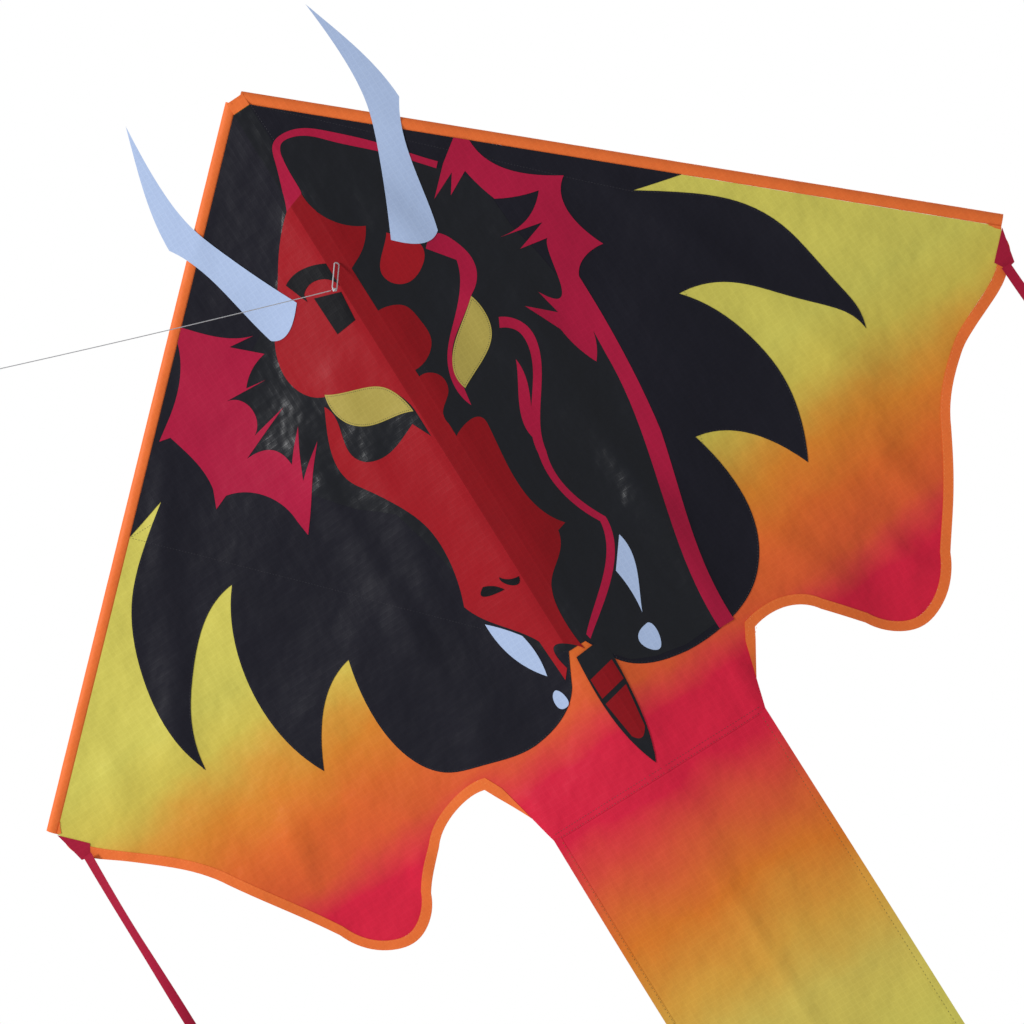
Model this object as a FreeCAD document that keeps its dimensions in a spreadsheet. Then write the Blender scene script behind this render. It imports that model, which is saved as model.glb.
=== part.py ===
"""Single-line dragon delta kite: sail, spars, sewn face, horns, tail, streamers and flying line.

Units are millimetres. X runs to the kite's right as its front is seen, -Y is the front, +Z is up.
The origin is on the spine, on the sail's front face, where the tow loop is sewn.
An outline is written the way the kite is drawn on a cutting table: each point is
(across from the centre line, down from the nose) on the flat wing panel.
"""

import FreeCAD, Part
import math
import os

doc = FreeCAD.newDocument("dragon_kite")
V = FreeCAD.Vector

# ---------------------------------------------------------------- driving dimensions
DIMENSIONS = {
    "half_span": 584,
    "tip_drop": 517,
    "nose_half": 14,
    "spine_drop": 806,
    "tow_drop": 200,
    "dihedral": 6,
    "strip_half": 9.2,
    "hinge_out": 9.5,
    "cloth_depth": 0.6,
    "layer_depth": 0.4,
    "sleeve_width": 13,
    "sleeve_depth": 6.4,
    "sleeve_wall": 0.4,
    "rod_diameter": 4.5,
    "cap_diameter": 5.4,
    "cap_length": 14,
    "binding_width": 10,
    "spreader_drop": 242,
    "spreader_half": 268,
    "spreader_back": 37.8,
    "spreader_diameter": 5,
    "fitting_from": 240,
    "fitting_length": 24,
    "fitting_wall": 2,
    "fitting_depth": 7,
    "tail_half": 123,
    "tail_length": 1480,
    "tail_hem": 8,
    "streamer_width": 10,
    "streamer_length": 600,
    "streamer_out": 557,
    "line_diameter": 0.9,
    "loop_cord": 1.2,
    "knot_diameter": 4.4,
}

sheet = doc.addObject("Spreadsheet::Sheet", "sizes")
for row, (alias, value) in enumerate(DIMENSIONS.items(), start=1):
    sheet.set(f"A{row}", alias)
    sheet.set(f"B{row}", str(value))
    sheet.setAlias(f"B{row}", alias)
doc.recompute()


def size(alias):
    """A driving dimension, as the sheet holds it."""
    return float(getattr(sheet, alias))


parts = []


def keep(thing, label):
    """Name a finished sub-part, so that it is checked and written."""
    thing.Label = label
    parts.append(thing)
    return thing


# ---------------------------------------------------------------- the flat panels' frame
SIDES = {"left": -1, "centre": 0, "right": 1}


def panel_place(side):
    """The frame of a flat panel: X across, Y up from the nose, Z out of the front."""
    flat = FreeCAD.Placement(V(0, 0, size("tow_drop")), FreeCAD.Rotation(V(1, 0, 0), 90))
    sign = SIDES[side]
    if not sign:
        return flat
    turn = FreeCAD.Rotation(V(0, 0, 1), sign * size("dihedral"))
    tilt = FreeCAD.Placement(V(), turn, V(sign * size("hinge_out"), 0, 0))
    return tilt * flat


def leading(x, inset=0.0):
    """How far down the leading edge is at x, moved into the sail by inset."""
    rise = size("tip_drop") / (size("half_span") - size("nose_half"))
    return (x - size("nose_half")) * rise + inset * math.hypot(1, rise)


def layer_front(layer):
    """How far layer number 0 (sail), 1, 2 or 3 starts in front of the panel's back face."""
    return 0.0 if layer == 0 else size("cloth_depth") + (layer - 1) * size("layer_depth")


def outline_edges(outline):
    """Edges of a closed outline: its start, then stretches. One point is a straight edge."""
    start, stretches = outline
    edges = []
    here = start
    for stretch in stretches:
        points = [V(x, -down, 0) for x, down in [here, *stretch]]
        if len(points) == 2:
            edges.append(Part.LineSegment(points[0], points[1]))
        else:
            curve = Part.BSplineCurve()
            curve.interpolate(points)
            edges.append(curve)
        here = stretch[-1]
    if here != start:
        edges.append(Part.LineSegment(V(here[0], -here[1], 0), V(start[0], -start[1], 0)))
    return edges


def mirrored(outline):
    """The same outline on the other side of the centre line."""
    start, stretches = outline
    return (-start[0], start[1]), [[(-x, down) for x, down in s] for s in stretches]


def cloth(name, outline, side, layer):
    """A flat piece of cloth: a sketch on the panel, extruded by its layer's depth."""
    drawing = doc.addObject("Sketcher::SketchObject", name + "_outline")
    lift = FreeCAD.Placement(V(0, 0, layer_front(layer)), FreeCAD.Rotation())
    drawing.Placement = panel_place(side) * lift
    drawing.addGeometry(outline_edges(outline))
    piece = doc.addObject("Part::Extrusion", name)
    piece.Base = drawing
    piece.DirMode = "Normal"
    piece.Solid = True
    depth = "cloth_depth" if layer == 0 else "layer_depth"
    piece.setExpression("LengthFwd", f"sizes.{depth}")
    return piece


def panel_box(name, side, x, width, down, height, front, depth):
    """A box on a panel: from x across, between two drops, from front towards the front."""
    box = doc.addObject("Part::Box", name)
    box.Length = width
    box.Width = height
    box.Height = depth
    corner = FreeCAD.Placement(V(x, -down - height, front), FreeCAD.Rotation())
    box.Placement = panel_place(side) * corner
    return box


def clipped(name, outline, side, layer):
    """The stretch of a piece that belongs to one wing, or to the strip between them."""
    whole = cloth(name + "_whole", outline, side, layer)
    reach = size("half_span")
    if side == "centre":
        left, width = -size("strip_half"), 2 * size("strip_half")
    else:
        width = reach
        left = size("hinge_out") if side == "right" else -size("hinge_out") - reach
    zone = panel_box(name + "_zone", side, left, width, -reach, 4 * reach, -5, 20)
    both = doc.addObject("Part::Common", name)
    both.Base = whole
    both.Tool = zone
    return keep(both, name)


def group(name, pieces):
    """Separate solids that share one node."""
    together = doc.addObject("Part::Compound", name)
    together.Links = pieces
    return keep(together, name)


# ---------------------------------------------------------------- sail outlines
STRIP = size("hinge_out")
TIP_IN = (575, leading(575, size("sleeve_width")))

TRAILING_EDGE = [
    [(562, 545), (530, 574), (500, 597), (460, 631), (435, 662)],
    [(364, 765)],
    [(346, 790), (325, 803), (305, 807), (284, 800), (262, 778)],
    [(230, 743)],
    [(205, 723), (175, 718), (152, 722)],
    [(143, 738)],
    [(size("tail_half"), size("spine_drop"))],
]
SAIL = (
    (STRIP, leading(STRIP, size("sleeve_width"))),
    [[TIP_IN], *TRAILING_EDGE, [(STRIP, size("spine_drop"))]],
)
MANE = (
    (STRIP, leading(STRIP, size("sleeve_width"))),
    [
        [(338, leading(338, size("sleeve_width")))],
        [(289, 299)],
        [(328, 326), (372, 366), (405, 432), (402, 555)],
        [(386, 505), (360, 466), (312, 422), (273, 411)],
        [(297, 446), (316, 508), (293, 622)],
        [(278, 592), (255, 563), (210, 541)],
        [(219, 590), (213, 648), (180, 695), (132, 714), (90, 716)],
        [(64, 711), (40, 700), (26, 686)],
        [(STRIP, 655)],
    ],
)

# ---------------------------------------------------------------- dragon's face
FACE = (
    (-16, 128),
    [
        [(-48, 160), (-70, 190), (-102, 232), (-110, 270), (-99, 296), (-82, 307)],
        [(-55, 319), (-28, 334), (-17, 350), (-12, 371)],
        [(-12, 401)],
        [(-22, 380)],
        [(-36, 385), (-62, 391), (-84, 385)],
        [(-94, 364), (-88, 337), (-91, 314)],
        [(-106, 345), (-113, 378), (-104, 402)],
        [(-82, 436), (-66, 475), (-66, 520), (-78, 561)],
        [(-68, 581), (-42, 613), (-30, 631)],
        [(-29, 655), (-28, 677)],
        [(-20, 668)],
        [(-15, 643), (-4, 650), (5, 661)],
        [(3, 622), (13, 587), (36, 566), (45, 548)],
        [(55, 545)],
        [(40, 517), (36, 485), (39, 446), (42, 420)],
        [(37, 409), (28, 408), (9, 415)],
        [(9, 400)],
        [(13, 384), (26, 372), (28, 355), (20, 346), (9, 344)],
        [(9, 336)],
        [(26, 332), (39, 318), (40, 295), (34, 274), (22, 267), (9, 265)],
        [(9, 214)],
        [(17, 210)],
        [(32, 200), (44, 184)],
        [(23, 168), (10, 146), (6, 121)],
    ],
)
CREST = (
    (-16, 128),
    [
        [(-7, 104), (1, 78), (8, 62), (30, 59), (62, 80), (98, 117), (140, 167)],
        [(135, 172)],
        [(94, 125), (60, 91), (31, 67), (16, 66), (9, 80), (6, 121)],
    ],
)
LEFT_EAR = (
    (174, leading(174, size("sleeve_width"))),
    [
        [(159, 180), (140, 198), (116, 211)],
        [(143, 207)],
        [(116, 233)],
        [(137, 240), (151, 252)],
        [(129, 256)],
        [(181, 251)],
        [(158, 270), (160, 287), (181, 299)],
        [(128, 290)],
        [(190, 312)],
        [(158, 324), (152, 344)],
        [(125, 315)],
        [(151, 364)],
        [(116, 339)],
        [(136, 362), (162, 393)],
        [(178, 412)],
        [(180, 394)],
        [(184, 372), (208, 341), (230, 331)],
        [(246, 337)],
        [(238, 318)],
        [(237, 291), (242, 265), (246, 250)],
        [(258, 247)],
        [(241, 236)],
        [(219, 220), (200, 200), (186, leading(186, size("sleeve_width")))],
    ],
)
RIGHT_EAR = (
    (166, leading(166, size("sleeve_width"))),
    [
        [(178, leading(178, size("sleeve_width")))],
        [(187, 201), (206, 224), (239, 248)],
        [(227, 262), (224, 287), (236, 327)],
        [(226, 326), (206, 332), (198, 342)],
        [(197, 390), (194, 440), (184, 518)],
        [(163, 594), (150, 650), (145, 714)],
        [(128, 714)],
        [(131, 665), (152, 568), (171, 490), (179, 424)],
        [(182, 378)],
        [(177, 408), (167, 424)],
        [(158, 400), (154, 378)],
        [(136, 340)],
        [(161, 362)],
        [(155, 334)],
        [(172, 350), (182, 322), (192, 292)],
        [(163, 287)],
        [(196, 276)],
        [(152, 266)],
        [(192, 262), (210, 247)],
        [(190, 241), (168, 230)],
        [(161, 206), (158, 190)],
        [(133, 203)],
        [(146, 184)],
        [(117, 197)],
        [(143, 172)],
    ],
)
BROW_BAND = (
    (83, 236),
    [
        [(101, 228), (112, 245), (117, 270), (97, 301)],
        [(69, 322), (50, 340), (43, 355), (41, 377)],
        [(38, 396)],
        [(34, 369), (42, 344), (75, 307), (94, 284), (103, 262)],
    ],
)
CHEEK_BLOB = (
    (80, 226),
    [[(79, 240), (68, 251), (50, 256), (37, 249), (32, 235), (45, 215), (58, 201)]],
)
MOUTH_LINE = (
    (108, 335),
    [
        [(119, 343), (128, 362), (126, 381), (102, 424), (77, 474)],
        [(73, 500), (79, 532), (92, 561)],
        [(89, 579), (61, 619), (15, 656)],
        [(14, 650)],
        [(53, 615), (81, 578), (85, 562)],
        [(72, 533), (66, 500), (69, 472)],
        [(94, 420), (117, 378), (118, 362), (103, 345)],
    ],
)
MOUTH_CREASE = (
    (100, 380),
    [[(97, 407), (86, 432), (75, 462)], [(72, 452), (79, 420), (100, 380)]],
)
LEFT_EYE = (
    (-84, 304),
    [
        [(-54, 318), (-27, 333), (-18, 349), (-14, 370)],
        [(-40, 362), (-64, 355), (-79, 342), (-86, 322), (-84, 304)],
    ],
)
RIGHT_EYE = (
    (96, 302),
    [
        [(99, 325), (93, 346), (75, 361), (42, 378)],
        [(42, 355), (50, 341), (68, 324), (96, 302)],
    ],
)
BROW_ARCH = (
    (-58, 189),
    [
        [(-44, 185), (-25, 188), (-10, 195)],
        [(-10, 222)],
        [(-22, 206), (-38, 203), (-47, 208)],
        [(-48, 216)],
    ],
)
BROW_BLOCK = ((-40, 217), [[(-12, 228)], [(-15, 260)], [(-39, 261)]])
NOSTRIL_LOW = ((-50, 555), [[(-56, 562), (-49, 566), (-32, 569)], [(-40, 560), (-50, 555)]])
NOSTRIL_HIGH = ((-30, 556), [[(-24, 562), (-12, 566)], [(-16, 572), (-24, 569), (-30, 556)]])
LEFT_FANG = (
    (-69, 587),
    [[(-56, 600), (-42, 617)], [(-39, 640), (-42, 664)], [(-58, 640), (-69, 587)]],
)
LEFT_SMALL_TOOTH = ((-43, 680), [[(-37, 690), (-39, 699), (-47, 699), (-50, 690), (-43, 680)]])
RIGHT_FANG = ((94, 583), [[(95, 604), (88, 627), (72, 661)], [(74, 640), (72, 612)]])
RIGHT_SMALL_TOOTH = ((71, 672), [[(74, 690), (67, 700), (60, 696), (71, 672)]])
HORN = (
    (112, -44),
    [
        [(128, 8), (138, 50), (142, 90)],
        [(131, 110), (118, 152), (103, 226)],
        [(89, 231), (73, 224), (58, 210)],
        [(73, 178), (94, 128), (110, 80), (115, 35), (112, -44)],
    ],
)
TONGUE = (
    (-6, 664),
    [
        [(-8, 692), (-8, 730), (5, 792)],
        [(14, 768), (22, 724), (25, 690), (26, 661)],
    ],
)
TONGUE_STRIPE = (
    (-6, 690),
    [[(-6, 712)], [(22, 706)], [(22, 684)]],
)
TONGUE_TIP_STRIPE = (
    (-6, 718),
    [[(-1, 758)], [(5, 764), (15, 756)], [(21, 712)]],
)


# ---------------------------------------------------------------- sail, binding and hems
def inner_point(before, point, after, distance):
    """A corner of the trailing edge moved into the sail, square to the edge on both sides."""
    arriving = V(point[0] - before[0], point[1] - before[1], 0).normalize()
    leaving = V(after[0] - point[0], after[1] - point[1], 0).normalize()
    heading = (arriving + leaving).normalize()
    reach = distance / max(heading.dot(arriving), 0.5)
    return point[0] + heading.y * reach, point[1] - heading.x * reach


def binding_outline():
    """The band folded over the scalloped trailing edge, from the wing tip to the tail."""
    width = size("binding_width")
    points = [TIP_IN, *(point for stretch in TRAILING_EDGE for point in stretch)]
    tip_corner = (TIP_IN[0] - width, leading(TIP_IN[0] - width, size("sleeve_width")))
    inner = [tip_corner]
    for before, point, after in zip(points, points[1:], points[2:]):
        inner.append(inner_point(before, point, after, width))
    inner.append((size("tail_half") - width, size("spine_drop")))
    back = []
    last = len(inner) - 1
    for stretch in reversed(TRAILING_EDGE):
        back.append(inner[last - len(stretch):last][::-1])
        last -= len(stretch)
    return TIP_IN, [*TRAILING_EDGE, [inner[-1]], *back]


BINDING = binding_outline()

for side in ("left", "right"):
    flip = mirrored if side == "left" else (lambda outline: outline)
    keep(cloth(side + "_sail", flip(SAIL), side, 0), side + "_sail")
    keep(cloth(side + "_mane", flip(MANE), side, 1), side + "_mane")
    keep(cloth(side + "_horn", flip(HORN), side, 3), side + "_horn")
    keep(cloth(side + "_binding", flip(BINDING), side, 1), side + "_binding")
    clipped(side + "_face", FACE, side, 2)
    clipped(side + "_crest", CREST, side, 2)

strip_width = 2 * size("strip_half")
strip = panel_box(
    "centre_strip", "centre", -size("strip_half"), strip_width, 0, size("spine_drop"), 0, 1
)
strip.setExpression("Height", "sizes.cloth_depth")
strip.setExpression("Length", "sizes.strip_half * 2")
strip.setExpression("Width", "sizes.spine_drop")
keep(strip, "centre_strip")
patch_drop = 14
black = panel_box(
    "centre_mane", "centre", -size("strip_half"), strip_width, patch_drop, 641,
    layer_front(1), size("layer_depth"),
)
keep(black, "centre_mane")
patch = panel_box(
    "nose_patch", "centre", -size("strip_half"), strip_width, 0, patch_drop - 0.5,
    layer_front(1), 2 * size("layer_depth"),
)
keep(patch, "nose_patch")
clipped("centre_face", FACE, "centre", 2)
clipped("centre_crest", CREST, "centre", 2)
clipped("centre_tongue", TONGUE, "centre", 2)
clipped("right_tongue", TONGUE, "right", 2)

keep(cloth("left_ear", mirrored(LEFT_EAR), "left", 2), "left_ear")
keep(cloth("right_ear", RIGHT_EAR, "right", 2), "right_ear")
keep(cloth("right_brow_band", BROW_BAND, "right", 2), "right_brow_band")
keep(cloth("right_cheek_blob", CHEEK_BLOB, "right", 2), "right_cheek_blob")
group("right_mouth_lines", [
    cloth("mouth_line", MOUTH_LINE, "right", 2),
    cloth("mouth_crease", MOUTH_CREASE, "right", 2),
])
group("left_black_marks", [
    cloth("brow_arch", BROW_ARCH, "left", 3),
    cloth("brow_block", BROW_BLOCK, "left", 3),
    cloth("nostril_low", NOSTRIL_LOW, "left", 3),
    cloth("nostril_high", NOSTRIL_HIGH, "left", 3),
])
for name, outline in {
    "left_eye": LEFT_EYE,
    "right_eye": RIGHT_EYE,
    "left_fang": LEFT_FANG,
    "left_small_tooth": LEFT_SMALL_TOOTH,
    "right_fang": RIGHT_FANG,
    "right_small_tooth": RIGHT_SMALL_TOOTH,
}.items():
    keep(cloth(name, outline, name.split("_")[0], 3), name)


def tongue_stripes(name, side):
    """The red lengths of the tongue, on one side of the strip's seam."""
    pieces = []
    for number, outline in enumerate((TONGUE_STRIPE, TONGUE_TIP_STRIPE), start=1):
        piece = clipped(f"{name}_{number}", outline, side, 3)
        parts.remove(piece)
        pieces.append(piece)
    group(name, pieces)


tongue_stripes("centre_tongue_stripes", "centre")
tongue_stripes("right_tongue_stripes", "right")


# ---------------------------------------------------------------- sleeves, spars and fittings
def sleeve(name, place, length, width):
    """A flat fabric tube along local X, its front face towards local Z, open at both ends."""
    wall = size("sleeve_wall")
    depth = size("sleeve_depth")
    outer = doc.addObject("Part::Box", name + "_outer")
    outer.Length = length
    outer.Width = width
    outer.setExpression("Height", "sizes.sleeve_depth")
    outer.Placement = place
    bore = doc.addObject("Part::Box", name + "_bore")
    bore.Length = length + 2
    bore.Width = width - 2 * wall
    bore.Height = depth - 2 * wall
    bore.Placement = place * FreeCAD.Placement(V(-1, wall, wall), FreeCAD.Rotation())
    tube = doc.addObject("Part::Cut", name)
    tube.Base = outer
    tube.Tool = bore
    return keep(tube, name)


def rod(name, place, start, length):
    """A round spar along local X, from start."""
    bar = doc.addObject("Part::Cylinder", name)
    bar.setExpression("Radius", "sizes.rod_diameter / 2")
    bar.Height = length
    along = FreeCAD.Placement(V(start, 0, 0), FreeCAD.Rotation(V(0, 1, 0), 90))
    bar.Placement = place * along
    return keep(bar, name)


def rod_caps(name, place, start, length):
    """The two soft caps pushed over a spar's ends."""
    caps = []
    wall = 1.0
    grip = size("cap_length") - 2
    for number, (end, inward) in enumerate(((start, 1), (start + length, -1)), start=1):
        turn = FreeCAD.Rotation(V(0, 1, 0), 90 * inward)
        seat = FreeCAD.Placement(V(end - inward * wall, 0, 0), turn)
        outer = doc.addObject("Part::Cylinder", f"{name}_body_{number}")
        outer.setExpression("Radius", "sizes.cap_diameter / 2")
        outer.setExpression("Height", "sizes.cap_length")
        outer.Placement = place * seat
        bore = doc.addObject("Part::Cylinder", f"{name}_bore_{number}")
        bore.setExpression("Radius", "sizes.rod_diameter / 2")
        bore.Height = grip + 2
        mouth = FreeCAD.Placement(V(0, 0, wall), FreeCAD.Rotation())
        bore.Placement = place * seat * mouth
        cap = doc.addObject("Part::Cut", f"{name}_{number}")
        cap.Base = outer
        cap.Tool = bore
        caps.append(cap)
    return group(name, caps)


def leading_place(side, from_nose):
    """Local X along a leading edge from the nose, local Y into the sail, local Z to the front."""
    sign = SIDES[side]
    run = size("half_span") - size("nose_half")
    slope = math.atan2(size("tip_drop"), run)
    corner = V(sign * size("nose_half"), 0, 0)
    if sign > 0:
        turn = FreeCAD.Rotation(V(0, 0, 1), -math.degrees(slope))
        local = FreeCAD.Placement(corner, turn)
        shift = FreeCAD.Placement(V(from_nose, -size("sleeve_width"), 0), FreeCAD.Rotation())
    else:
        turn = FreeCAD.Rotation(V(0, 0, 1), 180 + math.degrees(slope))
        local = FreeCAD.Placement(corner, turn)
        shift = FreeCAD.Placement(V(from_nose, 0, 0), FreeCAD.Rotation())
    return panel_place(side) * local * shift


sleeve_front = layer_front(3)
sleeve_back = sleeve_front - size("sleeve_depth")
sleeve_middle = sleeve_front - size("sleeve_depth") / 2
edge_length = math.hypot(size("half_span") - size("nose_half"), size("tip_drop"))
SLEEVE_START = 9

for side in ("left", "right"):
    along = leading_place(side, SLEEVE_START)
    deep = FreeCAD.Placement(V(0, 0, sleeve_back), FreeCAD.Rotation())
    sleeve(side + "_sleeve", along * deep, edge_length - SLEEVE_START, size("sleeve_width"))
    middle = V(0, size("sleeve_width") / 2, sleeve_middle)
    axis = along * FreeCAD.Placement(middle, FreeCAD.Rotation())
    rod(side + "_spar", axis, 4, edge_length - SLEEVE_START - 8)
    rod_caps(side + "_spar_caps", axis, 4, edge_length - SLEEVE_START - 8)

down_turn = FreeCAD.Rotation(V(0, 0, 1), -90)
spine_back = -size("sleeve_depth")
spine_top = FreeCAD.Placement(V(-8.9, 0, spine_back), down_turn)
sleeve("spine_sleeve", panel_place("centre") * spine_top, size("spine_drop"), 17.8)
spine_axis = panel_place("centre") * FreeCAD.Placement(V(0, 0, spine_back / 2), down_turn)
rod("spine_spar", spine_axis, 6, size("spine_drop") - 12)
rod_caps("spine_spar_caps", spine_axis, 6, size("spine_drop") - 12)


def fitting(side):
    """The cradle behind a leading edge: a trough, open to the back, with a stop at its end."""
    sign = SIDES[side]
    wall = size("fitting_wall")
    gap = size("spreader_diameter") + 0.6
    length = size("fitting_length")
    first = size("hinge_out") + size("fitting_from")
    x = first if sign > 0 else -first - length
    top = size("spreader_drop") - gap / 2 - wall
    tall = gap + 2 * wall
    name = side + "_spreader_fitting"
    base = panel_box(name + "_base", side, x, length, top, tall, sleeve_back - wall, wall)
    deep = sleeve_back - wall - size("fitting_depth")
    walls = [base]
    for number, drop in enumerate((top, top + tall - wall), start=1):
        block = f"{name}_wall_{number}"
        walls.append(panel_box(block, side, x, length, drop, wall, deep, size("fitting_depth") + wall))
    stop_x = x + length if sign > 0 else x - wall
    stop_depth = size("fitting_depth") + wall
    walls.append(panel_box(name + "_stop", side, stop_x, wall, top, tall, deep, stop_depth))
    joined = doc.addObject("Part::MultiFuse", name)
    joined.Shapes = walls
    return keep(joined, name)


TIP_TAB = ((575, 528), [[(550, 553)], [(557, 565)], [(567, 563)]])
for side in ("left", "right"):
    fitting(side)
    tab = TIP_TAB if side == "right" else mirrored(TIP_TAB)
    keep(cloth(side + "_tip_tab", tab, side, 2), side + "_tip_tab")

spreader_place = FreeCAD.Placement(
    V(-size("spreader_half"), size("spreader_back"), size("tow_drop") - size("spreader_drop")),
    FreeCAD.Rotation(),
)
spreader = doc.addObject("Part::Cylinder", "spreader")
spreader.setExpression("Radius", "sizes.spreader_diameter / 2")
spreader.setExpression("Height", "sizes.spreader_half * 2")
lying = FreeCAD.Placement(V(), FreeCAD.Rotation(V(0, 1, 0), 90))
spreader.Placement = spreader_place * lying
keep(spreader, "spreader")

# ---------------------------------------------------------------- tail and streamers
SEAM_GAP = 1.0
tail_top = size("spine_drop") + SEAM_GAP
tail = panel_box(
    "tail_panel", "centre", -size("tail_half"), 2 * size("tail_half"), tail_top,
    size("tail_length"), 0, 1,
)
tail.setExpression("Height", "sizes.cloth_depth")
tail.setExpression("Length", "sizes.tail_half * 2")
tail.setExpression("Width", "sizes.tail_length")
keep(tail, "tail_panel")
hem = size("tail_hem")
for side in ("left", "right"):
    x = -size("tail_half") if side == "left" else size("tail_half") - hem
    edge = panel_box(
        "tail_hem_" + side, "centre", x, hem, tail_top, size("tail_length"),
        layer_front(1), size("layer_depth"),
    )
    edge.setExpression("Length", "sizes.tail_hem")
    keep(edge, "tail_hem_" + side)
end = panel_box(
    "tail_hem_end", "centre", -size("tail_half") + hem, 2 * (size("tail_half") - hem),
    tail_top + size("tail_length") - hem, hem, layer_front(1), size("layer_depth"),
)
keep(end, "tail_hem_end")

STREAMER_TOP = 566.5
for side in ("left", "right"):
    middle = SIDES[side] * size("streamer_out")
    ribbon = panel_box(
        side + "_streamer", side, middle - size("streamer_width") / 2, size("streamer_width"),
        STREAMER_TOP, size("streamer_length"), layer_front(2), 1,
    )
    ribbon.setExpression("Length", "sizes.streamer_width")
    ribbon.setExpression("Width", "sizes.streamer_length")
    ribbon.setExpression("Height", "sizes.layer_depth")
    keep(ribbon, side + "_streamer")


# ---------------------------------------------------------------- tow loop and flying line
KNOT = V(-14, -24, -28)


def tow_loop():
    """A closed loop of cord from the spine's seam to the knot: two legs and two round ends."""
    anchor = V(-1, -4.5, -3)
    length = (KNOT - anchor).Length - 3.2
    bend = 2.4
    legs = [
        Part.LineSegment(V(0, -bend, 0), V(length, -bend, 0)),
        Part.Arc(V(length, -bend, 0), V(length + bend, 0, 0), V(length, bend, 0)),
        Part.LineSegment(V(length, bend, 0), V(0, bend, 0)),
        Part.Arc(V(0, bend, 0), V(-bend, 0, 0), V(0, -bend, 0)),
    ]
    path = Part.Wire([leg.toShape() for leg in legs])
    ring = Part.Wire(Part.makeCircle(size("loop_cord") / 2, V(0, -bend, 0), V(1, 0, 0)))
    loop = doc.addObject("Part::Feature", "tow_loop")
    loop.Shape = path.makePipeShell([ring], True, True)
    turn = FreeCAD.Rotation(V(1, 0, 0), KNOT - anchor)
    loop.Placement = FreeCAD.Placement(anchor, turn)
    return keep(loop, "tow_loop")


def ball(name, middle):
    """A pulled-tight knot."""
    knot = doc.addObject("Part::Sphere", name)
    knot.setExpression("Radius", "sizes.knot_diameter / 2")
    knot.Placement = FreeCAD.Placement(middle, FreeCAD.Rotation())
    return keep(knot, name)


LINE_ROUTE = [V(-17.4, -26.2, -27.2), V(-203, -154, 13), V(-402, -288, 66)]


def rounded_route(route):
    """Straight runs joined by tangent arcs, each as large as its two runs allow."""
    edges = []
    here = route[0]
    for before, corner, after in zip(route, route[1:], route[2:]):
        arriving = (corner - before).normalize()
        leaving = (after - corner).normalize()
        turn = arriving.getAngle(leaving)
        shorter = min((corner - before).Length, (after - corner).Length)
        reach = 0.45 * shorter
        radius = reach / math.tan(turn / 2)
        print(f"line bend {math.degrees(turn):.1f} degrees, radius {radius:.0f} mm")
        first = corner - arriving * reach
        last = corner + leaving * reach
        inward = (leaving - arriving).normalize()
        bulge = radius / math.cos(turn / 2) - radius
        middle = corner + inward * bulge
        edges.append(Part.LineSegment(here, first).toShape())
        edges.append(Part.Arc(first, middle, last).toShape())
        here = last
    edges.append(Part.LineSegment(here, route[-1]).toShape())
    return Part.Wire(edges)


def flying_line():
    """The taut line from the tow loop's knot to the knot at its far end."""
    path = rounded_route(LINE_ROUTE)
    heading = LINE_ROUTE[1] - LINE_ROUTE[0]
    radius = size("line_diameter") / 2
    ring = Part.Wire(Part.makeCircle(radius, LINE_ROUTE[0], heading))
    line = doc.addObject("Part::Feature", "flying_line")
    line.Shape = path.makePipeShell([ring], True, True)
    wanted = math.pi * radius ** 2 * path.Length
    print(f"line length {path.Length:.1f} mm, volume {line.Shape.Volume / wanted:.3f} of its section")
    return keep(line, "flying_line")


tow_loop()
ball("tow_knot", KNOT)
flying_line()
far_turn = (LINE_ROUTE[2] - LINE_ROUTE[1]).normalize()
ball("line_end_knot", LINE_ROUTE[2] + far_turn * (size("knot_diameter") / 2 - 0.05))


# ---------------------------------------------------------------- checks and files
doc.recompute()
for thing in doc.Objects:
    if {"Invalid", "Error"} & set(thing.State):
        raise RuntimeError(f"{thing.Label} did not build: {thing.State}")
os.makedirs("parts", exist_ok=True)
for part in parts:
    shape = part.Shape
    if shape.isNull() or not shape.isValid() or shape.Volume <= 0:
        raise RuntimeError(f"{part.Label} has no valid solid")
    shape.exportStep(f"parts/{part.Label}.step")
print(len(parts), "sub-parts written")
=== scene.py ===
"""Visual model of the dragon kite: draped cloth, sewn layers, sleeves, knots, ribbons and line."""
import math

import bmesh
import bpy
import numpy as np
from mathutils import Matrix, Vector, noise
from mathutils.geometry import delaunay_2d_cdt


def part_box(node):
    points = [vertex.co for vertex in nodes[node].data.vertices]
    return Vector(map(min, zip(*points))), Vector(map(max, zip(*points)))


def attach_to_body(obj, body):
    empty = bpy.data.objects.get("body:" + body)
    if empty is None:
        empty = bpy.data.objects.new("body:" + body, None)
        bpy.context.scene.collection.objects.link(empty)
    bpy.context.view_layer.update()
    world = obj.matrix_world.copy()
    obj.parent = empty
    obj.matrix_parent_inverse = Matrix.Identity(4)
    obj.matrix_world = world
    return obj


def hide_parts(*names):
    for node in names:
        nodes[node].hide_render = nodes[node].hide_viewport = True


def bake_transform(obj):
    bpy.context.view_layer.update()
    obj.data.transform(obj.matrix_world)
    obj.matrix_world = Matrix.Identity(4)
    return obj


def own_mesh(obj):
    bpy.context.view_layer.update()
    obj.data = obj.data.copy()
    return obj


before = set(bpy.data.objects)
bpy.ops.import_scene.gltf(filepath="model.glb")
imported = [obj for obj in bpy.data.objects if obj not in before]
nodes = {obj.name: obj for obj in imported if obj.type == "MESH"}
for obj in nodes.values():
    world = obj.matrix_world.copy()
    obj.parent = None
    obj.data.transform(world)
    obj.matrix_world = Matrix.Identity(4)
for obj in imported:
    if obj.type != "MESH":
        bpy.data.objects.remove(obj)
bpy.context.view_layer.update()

MM = 0.001
HINGE = 9.5
TILT = math.radians(6)
TOW_DROP = 200
SPINE_DROP = 806
HALF_SPAN = 584
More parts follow.
